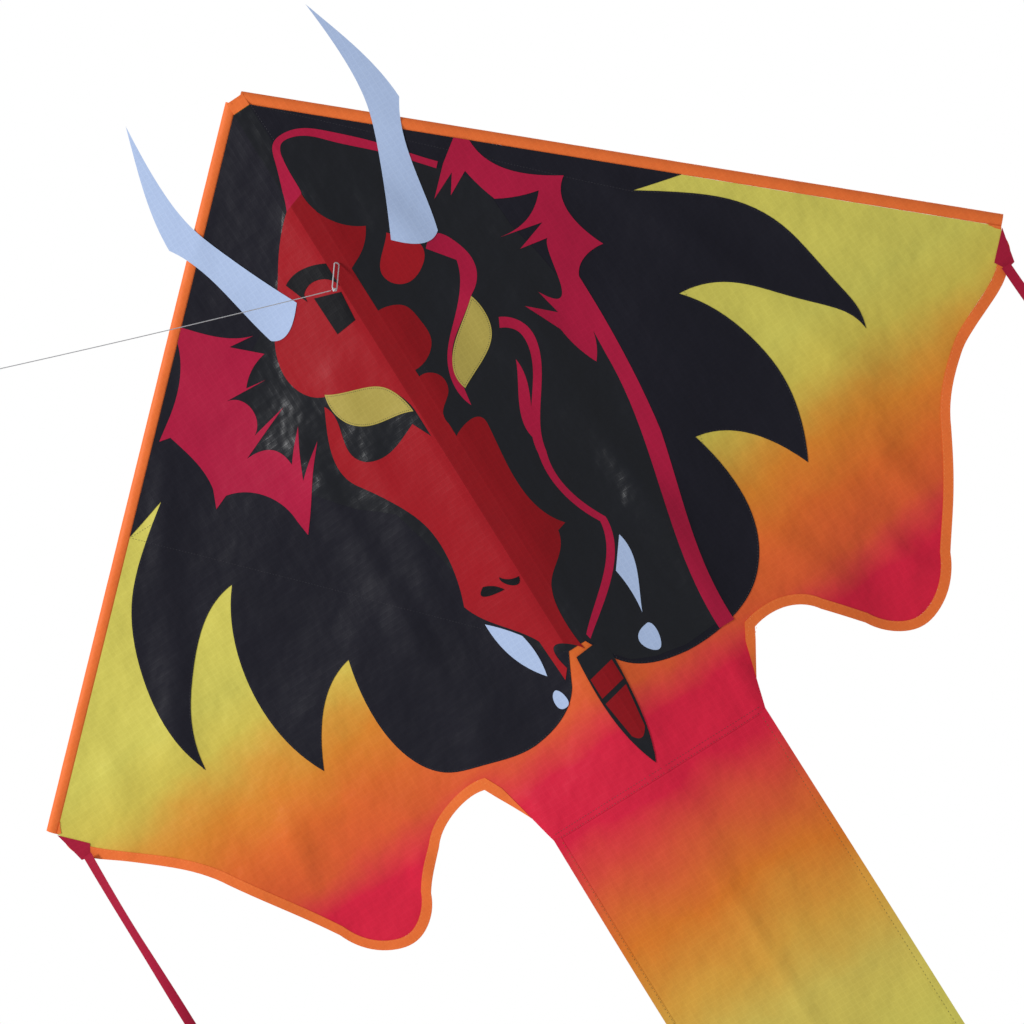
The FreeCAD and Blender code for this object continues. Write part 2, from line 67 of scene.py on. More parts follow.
TIP_DROP = 517
NOSE_HALF = 14
EDGE_SLOPE = TIP_DROP / (HALF_SPAN - NOSE_HALF)
SIDES = {"left": -1, "centre": 0, "right": 1}
BLEND_END = 18


# ---------------------------------------------------------------- camera and cords first
AZIMUTH = math.radians(-6.22)
ELEVATION = math.radians(6.97)
ROLL = math.radians(-32.07)
TARGET = Vector((0.0159, 0, -0.3086))
DISTANCE = 2.3907

camera_data = bpy.data.cameras.new("camera")
camera_data.lens = 85
camera_data.sensor_width = 36
camera = bpy.data.objects.new("camera", camera_data)
bpy.context.scene.collection.objects.link(camera)
forward = Vector((
    math.sin(AZIMUTH) * math.cos(ELEVATION),
    math.cos(AZIMUTH) * math.cos(ELEVATION),
    math.sin(ELEVATION),
))
level = forward.cross(Vector((0, 0, 1))).normalized()
above = level.cross(forward)
across = level * math.cos(ROLL) + above * math.sin(ROLL)
upward = above * math.cos(ROLL) - level * math.sin(ROLL)
turn = Matrix((across, upward, -forward)).transposed().to_4x4()
camera.matrix_world = Matrix.Translation(TARGET - forward * DISTANCE) @ turn
bpy.context.scene.camera = camera

LINE_ROUTE = [(-0.0174, -0.0262, -0.0272), (-0.203, -0.154, 0.013), (-0.402, -0.288, 0.066)]
LINE_DIAMETER = 0.0009


# ---------------------------------------------------------------- colours and materials
def linear(red, green, blue):
    """A colour given in sRGB, 0 to 255, as the shader wants it."""
    values = []
    for channel in (red, green, blue):
        share = channel / 255
        values.append(share / 12.92 if share <= 0.04045 else ((share + 0.055) / 1.055) ** 2.4)
    return (*values, 1.0)


def wave(tree, coordinates, direction, pitch):
    """Stripes that repeat every pitch metres."""
    node = tree.nodes.new("ShaderNodeTexWave")
    node.wave_type = "BANDS"
    node.bands_direction = direction
    node.inputs["Scale"].default_value = math.tau / (20 * pitch)
    node.inputs["Distortion"].default_value = 0.0
    tree.links.new(coordinates, node.inputs["Vector"])
    return node.outputs["Fac"]


def noise_texture(tree, coordinates, scale, detail):
    node = tree.nodes.new("ShaderNodeTexNoise")
    node.inputs["Scale"].default_value = scale
    node.inputs["Detail"].default_value = detail
    tree.links.new(coordinates, node.inputs["Vector"])
    return node.outputs["Fac"]


def calculate(tree, operation, first, second):
    node = tree.nodes.new("ShaderNodeMath")
    node.operation = operation
    for socket, value in zip(node.inputs, (first, second)):
        if isinstance(value, (int, float)):
            socket.default_value = value
        else:
            tree.links.new(value, socket)
    return node.outputs[0]


def mix(tree, share, first, second, blend="MIX"):
    node = tree.nodes.new("ShaderNodeMix")
    node.data_type = "RGBA"
    node.blend_type = blend
    for socket, value in ((node.inputs[0], share), (node.inputs[6], first), (node.inputs[7], second)):
        if isinstance(value, (int, float, tuple)):
            socket.default_value = value
        else:
            tree.links.new(value, socket)
    return node.outputs[2]


def start_material(name):
    material = bpy.data.materials.new(name)
    material.use_nodes = True
    tree = material.node_tree
    coordinates = tree.nodes.new("ShaderNodeTexCoord").outputs["Object"]
    return material, tree, tree.nodes["Principled BSDF"], coordinates


def bump(tree, shader, height, distance, strength=1.0):
    """Adds a bump on top of what the shader's normal already has."""
    node = tree.nodes.new("ShaderNodeBump")
    node.inputs["Distance"].default_value = distance
    node.inputs["Strength"].default_value = strength
    tree.links.new(height, node.inputs["Height"])
    if shader.inputs["Normal"].is_linked:
        tree.links.new(shader.inputs["Normal"].links[0].from_socket, node.inputs["Normal"])
    tree.links.new(node.outputs["Normal"], shader.inputs["Normal"])


RIPSTOP_PITCH = 0.0055
THREAD_PITCH = 0.0006


def cloth_material(name, colour, darker, roughness, wrinkle=0.0012, ramp=None, coat=0.0, specular=0.1):
    """Dyed rip-stop nylon: fine threads, a raised grid, slow wrinkles and uneven dye."""
    material, tree, shader, coordinates = start_material(name)
    mottle = noise_texture(tree, coordinates, 14, 5)
    fine = noise_texture(tree, coordinates, 420, 3)
    grid_x = calculate(tree, "POWER", wave(tree, coordinates, "X", RIPSTOP_PITCH), 14)
    grid_z = calculate(tree, "POWER", wave(tree, coordinates, "Z", RIPSTOP_PITCH), 14)
    grid = calculate(tree, "MAXIMUM", grid_x, grid_z)
    threads = calculate(
        tree, "MULTIPLY",
        wave(tree, coordinates, "X", THREAD_PITCH), wave(tree, coordinates, "Z", THREAD_PITCH),
    )
    base = colour
    if ramp is not None:
        axes = tree.nodes.new("ShaderNodeSeparateXYZ")
        tree.links.new(coordinates, axes.inputs[0])
        wander = calculate(tree, "MULTIPLY", calculate(tree, "SUBTRACT", mottle, 0.5), 0.05)
        height = calculate(tree, "ADD", axes.outputs["Z"], wander)
        place = tree.nodes.new("ShaderNodeMapRange")
        place.inputs["From Min"].default_value = (TOW_DROP - ramp[0][0]) * MM
        place.inputs["From Max"].default_value = (TOW_DROP - ramp[-1][0]) * MM
        tree.links.new(height, place.inputs["Value"])
        dye = tree.nodes.new("ShaderNodeValToRGB")
        tree.links.new(place.outputs[0], dye.inputs[0])
        stops = dye.color_ramp.elements
        span = ramp[-1][0] - ramp[0][0]
        for index, (down, shade) in enumerate(ramp):
            where = (down - ramp[0][0]) / span
            if index == 0:
                stop = stops[0]
            elif index == len(ramp) - 1:
                stop = stops[-1]
            else:
                stop = stops.new(where)
            stop.position = where
            stop.color = linear(*shade)
        base = dye.outputs[0]
    worn = calculate(tree, "MULTIPLY", mottle, 0.55)
    shaded = mix(tree, worn, base, darker, "MULTIPLY" if ramp else "MIX")
    specks = calculate(tree, "MULTIPLY", fine, 0.10)
    shaded = mix(tree, specks, shaded, (0.02, 0.02, 0.03, 1))
    shaded = mix(tree, calculate(tree, "MULTIPLY", grid, 0.10), shaded, (1, 1, 1, 1), "SOFT_LIGHT")
    tree.links.new(shaded, shader.inputs["Base Color"])
    rough = calculate(tree, "ADD", calculate(tree, "MULTIPLY", mottle, 0.16), roughness - 0.08)
    tree.links.new(rough, shader.inputs["Roughness"])
    shader.inputs["Specular IOR Level"].default_value = specular
    shader.inputs["Coat Weight"].default_value = coat
    shader.inputs["Coat Roughness"].default_value = 0.28
    folds = noise_texture(tree, coordinates, 16, 3)
    bump(tree, shader, folds, wrinkle * 4, 0.7)
    bump(tree, shader, grid, 0.0001, 0.5)
    bump(tree, shader, threads, 0.00006, 0.35)
    return material


def plain_material(name, colour, other, roughness, scale, pitch=None, direction="X"):
    """A part that isn't sheet cloth: uneven colour, fine grain and, if asked, drawn or wound lines."""
    material, tree, shader, coordinates = start_material(name)
    grain = noise_texture(tree, coordinates, scale, 6)
    tree.links.new(mix(tree, grain, colour, other), shader.inputs["Base Color"])
    rough = calculate(tree, "ADD", calculate(tree, "MULTIPLY", grain, 0.2), roughness - 0.1)
    tree.links.new(rough, shader.inputs["Roughness"])
    bump(tree, shader, grain, 0.0002, 0.4)
    if pitch:
        bump(tree, shader, wave(tree, coordinates, direction, pitch), 0.0002, 0.5)
    return material


YELLOW = (202, 193, 88)
DYE = [
    (500, YELLOW), (545, (202, 184, 78)), (585, (206, 146, 54)), (612, (212, 128, 42)),
    (660, (214, 102, 40)), (708, (214, 88, 46)), (728, (212, 66, 56)), (752, (208, 30, 60)),
    (815, (208, 30, 60)), (858, (212, 72, 54)), (935, (214, 118, 38)), (1005, (212, 158, 62)),
    (1060, (204, 182, 84)), (1150, YELLOW),
]
SAIL = cloth_material("sail_dyed", None, linear(236, 232, 226), 0.5, wrinkle=0.0026, ramp=DYE)
BLACK = cloth_material("mane_black", linear(25, 24, 33), linear(14, 14, 21), 0.5, wrinkle=0.002)
FACE_BLACK = cloth_material(
    "face_black", linear(9, 12, 19), linear(4, 5, 10), 0.32, wrinkle=0.0036, coat=0.08, specular=0.24,
)
MARK_BLACK = cloth_material("mark_black", linear(13, 13, 17), linear(7, 7, 10), 0.5)
RED = cloth_material("ear_red", linear(172, 22, 60), linear(134, 14, 44), 0.45)
FACE_RED = cloth_material("face_red", linear(158, 20, 30), linear(128, 12, 20), 0.45)
DEEP_RED = cloth_material("deep_red", linear(140, 14, 22), linear(108, 9, 15), 0.45)
EYE = cloth_material("eye_yellow", linear(174, 158, 80), linear(146, 128, 52), 0.45)
PALE = cloth_material("horn_white", linear(172, 190, 222), linear(150, 168, 204), 0.45, wrinkle=0.0006)
ORANGE = cloth_material("binding_orange", linear(232, 114, 52), linear(200, 88, 40), 0.5, wrinkle=0.0016)
RIBBON = cloth_material("ribbon_red", linear(168, 26, 56), linear(130, 16, 40), 0.4, wrinkle=0.0006)
CORD = plain_material(
    "cord_white", linear(204, 204, 206), linear(164, 164, 168), 0.7, 900, 0.0011, "DIAGONAL"
)
ROD = plain_material(
    "rod_fibreglass", linear(28, 28, 30), linear(46, 46, 50), 0.35, 260, 0.0016, "DIAGONAL"
)
VINYL = plain_material("cap_vinyl", linear(18, 18, 20), linear(32, 32, 34), 0.45, 500)
THREAD_ORANGE = plain_material("thread_orange", linear(250, 150, 70), linear(206, 96, 40), 0.6, 1200)
THREAD_BLACK = plain_material("thread_black", linear(26, 25, 30), linear(52, 50, 58), 0.6, 1200)
THREAD_RED = plain_material("thread_red", linear(120, 16, 30), linear(84, 12, 22), 0.6, 1200)
THREAD_OLIVE = plain_material("thread_olive", linear(92, 88, 30), linear(60, 58, 22), 0.6, 1200)


# ---------------------------------------------------------------- the panels and their drape
def step(values, start, end):
    share = np.clip((values - start) / (end - start), 0, 1)
    return share * share * (3 - 2 * share)


def ridge(x, down, ends, height, width):
    """A long soft crease between two points, fading out at both."""
    (x1, d1), (x2, d2) = ends
    run = np.array([x2 - x1, d2 - d1], float)
    length = np.linalg.norm(run)
    along = ((x - x1) * run[0] + (down - d1) * run[1]) / length
    away = ((x - x1) * run[1] - (down - d1) * run[0]) / length
    inside = np.clip(along, 0, length)
    gap = np.hypot(away, along - inside)
    fade = step(inside, -1, 40) * (1 - step(inside, length - 40, length + 1))
    return height * fade * np.exp(-((gap / width) ** 2))


CREASES = {
    "left": [
        (((-137, 300), (-137, 715)), 2.4, 16), (((-250, 720), (-273, 805)), 3.0, 14),
        (((-353, 620), (-366, 719)), 2.6, 15), (((-268, 245), (-430, 560)), 2.2, 22),
        (((-60, 260), (-118, 690)), 1.6, 18), (((-300, 640), (-215, 735)), 2.4, 18),
        (((-470, 470), (-520, 570)), 2.2, 20),
    ],
    "right": [
        (((137, 300), (137, 715)), 2.6, 16), (((308, 704), (333, 790)), 3.4, 14),
        (((268, 245), (395, 610)), 2.4, 22), (((60, 120), (150, 620)), 2.0, 18),
        (((345, 620), (375, 740)), 2.6, 16), (((268, 245), (505, 500)), 2.0, 24),
        (((210, 640), (265, 770)), 2.4, 18),
    ],
    "centre": [],
}


BILLOW_DEPTH = 15
EDGE_REACH = 95
SPINE_REACH = 90
LOBE_CURL = 16
TIP_LIFT = 5
CREASE_GAIN = 1.5


def billow(x, down, side):
    """How far the wind has pushed the cloth back, in millimetres."""
    if side == "centre":
        return np.zeros_like(x)
    reach = np.abs(x)
    from_edge = np.maximum(down - (reach - NOSE_HALF) * EDGE_SLOPE - 14, 0) / math.hypot(1, EDGE_SLOPE)
    from_spine = np.maximum(reach - BLEND_END, 0)
    deep = BILLOW_DEPTH * (1 - np.exp(-from_edge / EDGE_REACH)) * (1 - np.exp(-from_spine / SPINE_REACH))
    lobe = step(reach, 150, 290) * (1 - step(reach, 330, 520))
    deep = deep + LOBE_CURL * lobe * step(down, 660, 815)
    deep = deep - TIP_LIFT * step(reach, 380, 470) * step(from_edge, 60, 170)
    waves = 1.6 * np.sin(reach / 31 + down / 47) + 1.2 * np.sin(reach / 53 - down / 29 + 1.3)
    deep = deep + waves * step(from_edge, 8, 90) * step(from_spine, 8, 90)
    for ends, height, width in CREASES[side]:
        deep = deep - CREASE_GAIN * ridge(x, down, ends, height, width) * step(from_edge, 4, 40)
    seam = (1 - step(down, 700, SPINE_DROP) * (1 - step(reach, 118, 150)))
    return deep * seam


# where the loose cloth has pulled along its own plane: middle, radius, then the shift
PULLS = {
    "left": [((-268, 762), 80, (-15, -2)), ((-150, 716), 40, (0, -7))],
    "right": [((500, 600), 150, (-24, 0)), ((350, 780), 70, (-9, 0)), ((402, 555), 60, (22, -15))],
    "centre": [],
}


def pulled(x, down, side):
    """Panel places after the cloth's slack has gone into its curls."""
    edge = (down - (np.abs(x) - NOSE_HALF) * EDGE_SLOPE - 14) / math.hypot(1, EDGE_SLOPE)
    free = step(edge, 0, 60) * (1 - step(np.abs(x), 500, 548))
    new_x, new_down = x, down
    for (middle_x, middle_down), radius, (shift_x, shift_down) in PULLS[side]:
        near = free * np.exp(-((x - middle_x) ** 2 + (down - middle_down) ** 2) / radius**2)
        new_x = new_x + near * shift_x
        new_down = new_down + near * shift_down
    return new_x, new_down


def place(x, down, front, side, draped=True):
    """Panel millimetres to row-frame metres."""
    x, down, front = (np.asarray(v, float) for v in np.broadcast_arrays(x, down, front))
    if draped:
        x, down = pulled(x, down, side)
        front = front - billow(x, down, side)
    sign = SIDES[side]
    if sign:
        out = np.abs(x) - HINGE
        wide = sign * (HINGE + out * math.cos(TILT) + front * math.sin(TILT))
        deep = out * math.sin(TILT) - front * math.cos(TILT)
    else:
        wide, deep = x, -front
    return np.stack([wide, deep, TOW_DROP - down], axis=-1) * MM


def to_panel(points, side):
    """Row-frame millimetres back to panel millimetres."""
    sign = SIDES[side]
    if not sign:
        return np.stack([points[:, 0], TOW_DROP - points[:, 2], -points[:, 1]], axis=-1)
    out = sign * points[:, 0] - HINGE
    reach = out * math.cos(TILT) + points[:, 1] * math.sin(TILT)
    front = out * math.sin(TILT) - points[:, 1] * math.cos(TILT)
    return np.stack([sign * (reach + HINGE), TOW_DROP - points[:, 2], front], axis=-1)


# ---------------------------------------------------------------- meshes
def add_object(name, points, faces, material, smooth=True, sharp=40):
    mesh = bpy.data.meshes.new(name)
    mesh.from_pydata([tuple(p) for p in points], [], [tuple(f) for f in faces])
    mesh.validate()
    shaper = bmesh.new()
    shaper.from_mesh(mesh)
    bmesh.ops.recalc_face_normals(shaper, faces=shaper.faces)
    shaper.to_mesh(mesh)
    shaper.free()
    if smooth:
        mesh.shade_smooth()
        mesh.set_sharp_from_angle(angle=math.radians(sharp))
    mesh.materials.append(material)
    thing = bpy.data.objects.new(name, mesh)
    bpy.context.scene.collection.objects.link(thing)
    return thing


def cad_outlines(node, side):
    """Closed outlines of a CAD piece's front face, in panel millimetres."""
    mesh = nodes[node].data
    count = len(mesh.vertices)
    raw = np.zeros(count * 3)
    mesh.vertices.foreach_get("co", raw)
    flat = to_panel(raw.reshape(-1, 3) / MM, side)
    front = flat[:, 2].max()
    keys = [(round(float(x), 2), round(float(d), 2)) for x, d, _ in flat]
    follow = {}
    for polygon in mesh.polygons:
        if min(flat[i][2] for i in polygon.vertices) < front - 0.05:
            continue
        ring = [keys[i] for i in polygon.vertices]
        for edge in zip(ring, ring[1:] + ring[:1]):
            if edge[0] == edge[1]:
                continue
            if edge[::-1] in follow:
                del follow[edge[::-1]]
            else:
                follow[edge] = True
    after = {a: b for a, b in follow}
    loops = []
    while after:
        start, here = after.popitem()
        loop = [start]
        while here != start and here in after:
            loop.append(here)
            here = after.pop(here)
        if len(loop) > 2:
            loops.append(loop)
    return loops


GRID = 6.0


def subdivided(loop, longest=GRID):
    points = []
    for (x1, d1), (x2, d2) in zip(loop, loop[1:] + loop[:1]):
        parts = max(1, math.ceil(math.hypot(x2 - x1, d2 - d1) / longest))
        points += [(x1 + (x2 - x1) * i / parts, d1 + (d2 - d1) * i / parts) for i in range(parts)]
    return points


def inner_grid(loops):
    """Points of the shared grid that lie inside the outlines and clear of them."""
    everything = np.array([p for loop in loops for p in loop])
    low, high = everything.min(axis=0), everything.max(axis=0)
    columns = np.concatenate([[12, 14.5, 17, 20], np.arange(24, 620, GRID)])
    columns = np.concatenate([-columns[::-1], [-6, 0, 6], columns])
    columns = columns[(columns > low[0]) & (columns < high[0])]
    rows = np.arange(math.ceil(low[1] / GRID), math.floor(high[1] / GRID) + 1) * GRID
    if not len(columns) or not len(rows):
        return []
    x, d = (v.ravel() for v in np.meshgrid(columns, rows))
    inside = np.zeros(len(x), bool)
    near = np.full(len(x), 1e9)
    for loop in loops:
        ring = np.array(loop)
        for a, b in zip(ring, np.roll(ring, -1, axis=0)):
            run = b - a
            share = np.clip(((x - a[0]) * run[0] + (d - a[1]) * run[1]) / (run @ run), 0, 1)
            gap = np.hypot(x - a[0] - share * run[0], d - a[1] - share * run[1])
            near = np.minimum(near, gap)
            crosses = (a[1] > d) != (b[1] > d)
            if a[1] != b[1]:
                at = a[0] + (d - a[1]) * run[0] / run[1]
                inside ^= crosses & (x < at)
    keep = inside & (near > 0.3 * GRID)
    return list(zip(x[keep].tolist(), d[keep].tolist()))


def shell(name, loops, side, front, back, material, draped=True, stretch=1.0):
    """Cloth with that outline: two draped faces close together, joined round the rim."""
    loops = [subdivided(loop) for loop in loops]
    flat, edges = [], []
    for loop in loops:
        first = len(flat)
        flat += loop
        edges += [(first + i, first + (i + 1) % len(loop)) for i in range(len(loop))]
    flat += inner_grid(loops)
    found = delaunay_2d_cdt([Vector(p) for p in flat], edges, [], 1, 1e-4)
    corners = np.array([tuple(p) for p in found[0]])
    triangles = [tuple(f) for f in found[2]]
    x, down = corners[:, 0], corners[:, 1]
    fore = place(x, down, front, side, draped)
    aft = place(x, down, back, side, draped)
    fore[:, 0] *= stretch
    aft[:, 0] *= stretch
    total = len(corners)
    faces = list(triangles) + [(c + total, b + total, a + total) for a, b, c in triangles]
    used = set()
    for a, b, c in triangles:
        for edge in ((a, b), (b, c), (c, a)):
            if edge[::-1] in used:
                used.discard(edge[::-1])
            else:
                used.add(edge)
    faces += [(b, a, a + total, b + total) for a, b in sorted(used)]
    return add_object(name, np.concatenate([fore, aft]), faces, material, sharp=50)


def attach(piece, side, slot, *replaced):
    """Ties a centre piece to the spine's body, bakes a wing piece where it lies, and stands for CAD
    nodes.
    """
    if side == "centre":
        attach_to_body(piece, "spine")
    else:
        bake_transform(piece)
    if replaced:
        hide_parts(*replaced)
    return piece


# front and back of each layer of cloth, in millimetres from the sail's back
SAIL_LAYER = (0.45, 0.20)
LAYER_1 = (0.85, 0.05)
FACE_LAYER = (1.02, -0.05)
LAYER_2 = (1.20, -0.20)
LAYER_3 = (1.52, -0.35)
HORN_LAYER = (1.72, 1.44)
CENTRE_STRETCH = 9.6 / 9.2

CLOTH = {
    "centre_strip": (SAIL_LAYER, SAIL, "sail_cloth"),
    "left_sail": (SAIL_LAYER, SAIL, "sail_cloth"),
    "right_sail": (SAIL_LAYER, SAIL, "sail_cloth"),
    "left_mane": (LAYER_1, BLACK, "black_cloth"),
    "right_mane": (LAYER_1, BLACK, "black_cloth"),
    "centre_mane": (LAYER_1, FACE_BLACK, "black_cloth"),
    "nose_patch": ((1.3, -0.2), ORANGE, "orange_binding"),
    "left_binding": ((1.0, -0.25), ORANGE, "orange_binding"),
    "right_binding": ((1.0, -0.25), ORANGE, "orange_binding"),
    "centre_face": (LAYER_2, DEEP_RED, "red_cloth"),
    "left_face": (LAYER_2, FACE_RED, "red_cloth"),
    "right_face": (LAYER_2, DEEP_RED, "red_cloth"),
    "centre_crest": (LAYER_2, RED, "red_cloth"),
    "left_crest": (LAYER_2, RED, "red_cloth"),
    "right_crest": (LAYER_2, RED, "red_cloth"),
    "left_ear": (LAYER_2, RED, "red_cloth"),
    "right_ear": (LAYER_2, RED, "red_cloth"),
    "right_brow_band": (LAYER_2, RED, "red_cloth"),
    "right_cheek_blob": (LAYER_2, FACE_RED, "red_cloth"),
    "right_mouth_lines": (LAYER_2, RED, "red_cloth"),
    "left_black_marks": (LAYER_3, MARK_BLACK, "black_cloth"),
    "centre_tongue": (LAYER_2, FACE_BLACK, "black_cloth"),
    "right_tongue": (LAYER_2, FACE_BLACK, "black_cloth"),
    "centre_tongue_stripes": (LAYER_3, DEEP_RED, "red_cloth"),
    "right_tongue_stripes": (LAYER_3, DEEP_RED, "red_cloth"),
    "left_eye": (LAYER_3, EYE, "yellow_cloth"),
    "right_eye": (LAYER_3, EYE, "yellow_cloth"),
    "left_fang": (LAYER_3, PALE, "pale_cloth"),
    "right_fang": (LAYER_3, PALE, "pale_cloth"),
    "left_small_tooth": (LAYER_3, PALE, "pale_cloth"),
    "right_small_tooth": (LAYER_3, PALE, "pale_cloth"),
    "left_horn": (HORN_LAYER, PALE, "pale_cloth"),
    "right_horn": (HORN_LAYER, PALE, "pale_cloth"),
    "left_tip_tab": (LAYER_2, RIBBON, "red_ribbon"),
    "right_tip_tab": (LAYER_2, RIBBON, "red_ribbon"),
}
outlines = {}
for name, (layer, material, slot) in CLOTH.items():
    side = name.split("_")[0]
    if side not in SIDES:
        side = "centre"
    outlines[name] = cad_outlines(name, side)
    stretch = CENTRE_STRETCH if side == "centre" else 1.0
    piece = shell("cloth_" + name, outlines[name], side, *layer, material, True, stretch)
    attach(piece, side, slot, name)

# the darker, glossier cloth behind the face, inside the mane
FACE_BLACK_RIGHT = [
    (9.5, 62), (31, 64), (60, 88), (96, 124), (134, 170), (150, 182), (166, 215), (168, 262),
    (176, 300), (184, 360), (181, 424), (173, 490), (154, 568), (133, 665), (129, 708),
    (92, 710), (60, 704), (38, 694), (26, 680), (9.5, 652),
]
FACE_BLACK_LEFT = [
    (-9.5, 112), (-9.5, 652), (-30, 650), (-62, 570), (-72, 500), (-86, 446), (-120, 418),
    (-150, 382), (-176, 330), (-178, 276), (-150, 236), (-112, 216), (-60, 176),
]
for side, outline in (("left", FACE_BLACK_LEFT), ("right", FACE_BLACK_RIGHT)):
    piece = shell("cloth_" + side + "_face_black", [outline], side, *FACE_LAYER, FACE_BLACK)
    attach(piece, side, "black_cloth")


# ---------------------------------------------------------------- sleeves and tubes
def tube(name, rings, material, sharp=60):
    """Skin over rings of points, closed at both ends."""
    rings = np.asarray(rings)
    count, around = rings.shape[:2]
    points = list(rings.reshape(-1, 3))
    faces = []
    for i in range(count - 1):
        for j in range(around):
            k = (j + 1) % around
            faces.append((i * around + j, i * around + k, (i + 1) * around + k, (i + 1) * around + j))
    for end in (0, count - 1):
        points.append(rings[end].mean(axis=0))
        hub = len(points) - 1
        faces += [(end * around + j, end * around + (j + 1) % around, hub) for j in range(around)]
    return add_object(name, points, faces, material, sharp=sharp)


AROUND = 18


def pucker(along, seed):
    short = noise.noise(Vector((along / 9, seed, 0.3)))
    long = noise.noise(Vector((along / 31, seed, 7)))
    return short * 0.5 + long * 0.5


def leading_sleeve(side):
    """The fabric tube round a leading edge's spar, gathered a little by its stitching."""
    sign = SIDES[side]
    run = np.array([HALF_SPAN - NOSE_HALF, TIP_DROP], float)
    length = np.linalg.norm(run)
    run /= length
    inward = np.array([-run[1], run[0]])
    rings = []
    for along in np.linspace(-5.2, length - 0.2, 194):
        ring = []
        for i in range(AROUND):
            angle = math.tau * i / AROUND
            gather = pucker(along, 3.1 + sign + math.cos(angle))
            across_sleeve = 6.4 + 6.3 * math.cos(angle)
            thick = 0.5 + 0.5 * (1 - ((across_sleeve - 5.6) / 7.6) ** 2)
            front = -1.75 + (3.05 - 0.25 * abs(gather)) * math.sin(angle) * thick
            front += 0.9 * max(0.0, math.cos(angle)) ** 2
            across_sleeve += 0.15 * gather
            at = np.array([NOSE_HALF, 0]) + run * along + inward * across_sleeve
            ring.append(place(sign * at[0], at[1], min(front, 1.38), side, False))
        rings.append(ring)
    return tube("sleeve_" + side, rings, ORANGE)


def spine_sleeve():
    rings = []
    for down in np.linspace(0.3, SPINE_DROP - 0.3, 180):
        ring = []
        for i in range(AROUND):
            angle = math.tau * i / AROUND
            gather = pucker(down, 9.4 + math.cos(angle))
            wide = (8.7 - 0.2 * abs(gather)) * math.cos(angle)
            bulge = max(0.0, math.sin(angle)) * (1 - 0.35 * math.cos(angle) ** 2)
            deep = 0.4 + (5.8 - 0.35 * abs(gather)) * bulge
            ring.append((wide * MM, deep * MM, (TOW_DROP - down) * MM))
        rings.append(ring)
    return tube("sleeve_spine", rings, SAIL)


for side in ("left", "right"):
    piece = leading_sleeve(side)
    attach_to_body(piece, side + "_wing")
    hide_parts(side + "_sleeve")
piece = spine_sleeve()
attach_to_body(piece, "spine")
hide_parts("spine_sleeve")


# ---------------------------------------------------------------- tail
TAIL_HALF = 123
TAIL_TOP = SPINE_DROP - 2.5
TAIL_END = 2287
TAIL_HEM = 8


def tail_depth(x, down):
    """How far behind the spine the tail hangs: the sails' shallow V, then wind ripples."""
    reach = np.maximum(np.abs(x) - HINGE, 0)
    fade = np.exp(-np.maximum(down - SPINE_DROP, 0) / 260)
    below = np.maximum(down - SPINE_DROP, 0)
    grow = 1 - np.exp(-below / 420)
    ripple = 9 * np.sin(below / 130 + x / 190) + 3.2 * np.sin(below / 57 - x / 64 + 0.8)
    crease = -2.2 * np.exp(-((x / 7) ** 2)) * step(below, 20, 200)
    return reach * math.tan(TILT) * fade + ripple * grow * step(below, 4, 120) + crease


def tail_point(x, down, front):
    return np.stack([x, tail_depth(x, down) - front, TOW_DROP - down], axis=-1) * MM


def grid_shell(name, fore, aft, rows, columns, material):
    """Two matching grids of points close together, joined round the rim."""
    total = rows * columns
    faces = []
    for i in range(rows - 1):
        for j in range(columns - 1):
            a, b = i * columns + j, i * columns + j + 1
            c, d = b + columns, a + columns
            faces += [(a, b, c, d), (d + total, c + total, b + total, a + total)]
    rim = list(range(columns))
    rim += [i * columns + columns - 1 for i in range(1, rows)]
    rim += [(rows - 1) * columns + j for j in range(columns - 2, -1, -1)]
    rim += [i * columns for i in range(rows - 2, 0, -1)]
    faces += [(b, a, a + total, b + total) for a, b in zip(rim, rim[1:] + rim[:1])]
    return add_object(name, np.concatenate([fore, aft]), faces, material, sharp=50)


def strip_mesh(name, across_points, down_points, front, back, material):
    x, down = np.meshgrid(across_points, down_points)
    fore = tail_point(x, down, front).reshape(-1, 3)
    aft = tail_point(x, down, back).reshape(-1, 3)
    return grid_shell(name, fore, aft, *x.shape, material)


def on_tail(piece, slot, *replaced):
    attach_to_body(piece, "tail")
    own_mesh(piece)
    if replaced:
        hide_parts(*replaced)
    return piece


tail_across = np.linspace(-TAIL_HALF, TAIL_HALF, 42)
tail_down = np.linspace(TAIL_TOP, TAIL_END, 230)
tail = strip_mesh("cloth_tail", tail_across, tail_down, 0.12, -0.12, SAIL)
on_tail(tail, "sail_cloth", "tail_panel")
for side in ("left", "right"):
    edge = SIDES[side] * TAIL_HALF
    inner = edge - SIDES[side] * TAIL_HEM
    x_values = np.linspace(min(edge, inner), max(edge, inner), 4) * 1.001
    hem = strip_mesh("hem_tail_" + side, x_values, tail_down, 0.42, -0.30, SAIL)
    on_tail(hem, "sail_cloth", "tail_hem_" + side)
hem_across = np.linspace(-TAIL_HALF + TAIL_HEM - 0.3, TAIL_HALF - TAIL_HEM + 0.3, 40)
hem = strip_mesh(
    "hem_tail_end", hem_across, np.linspace(TAIL_END - TAIL_HEM, TAIL_END + 0.1, 4), 0.36, -0.26, SAIL
)
on_tail(hem, "sail_cloth", "tail_hem_end")


# ---------------------------------------------------------------- streamers
STREAMER_OUT = 557
STREAMER_TOP = 562
STREAMER_LENGTH = 600


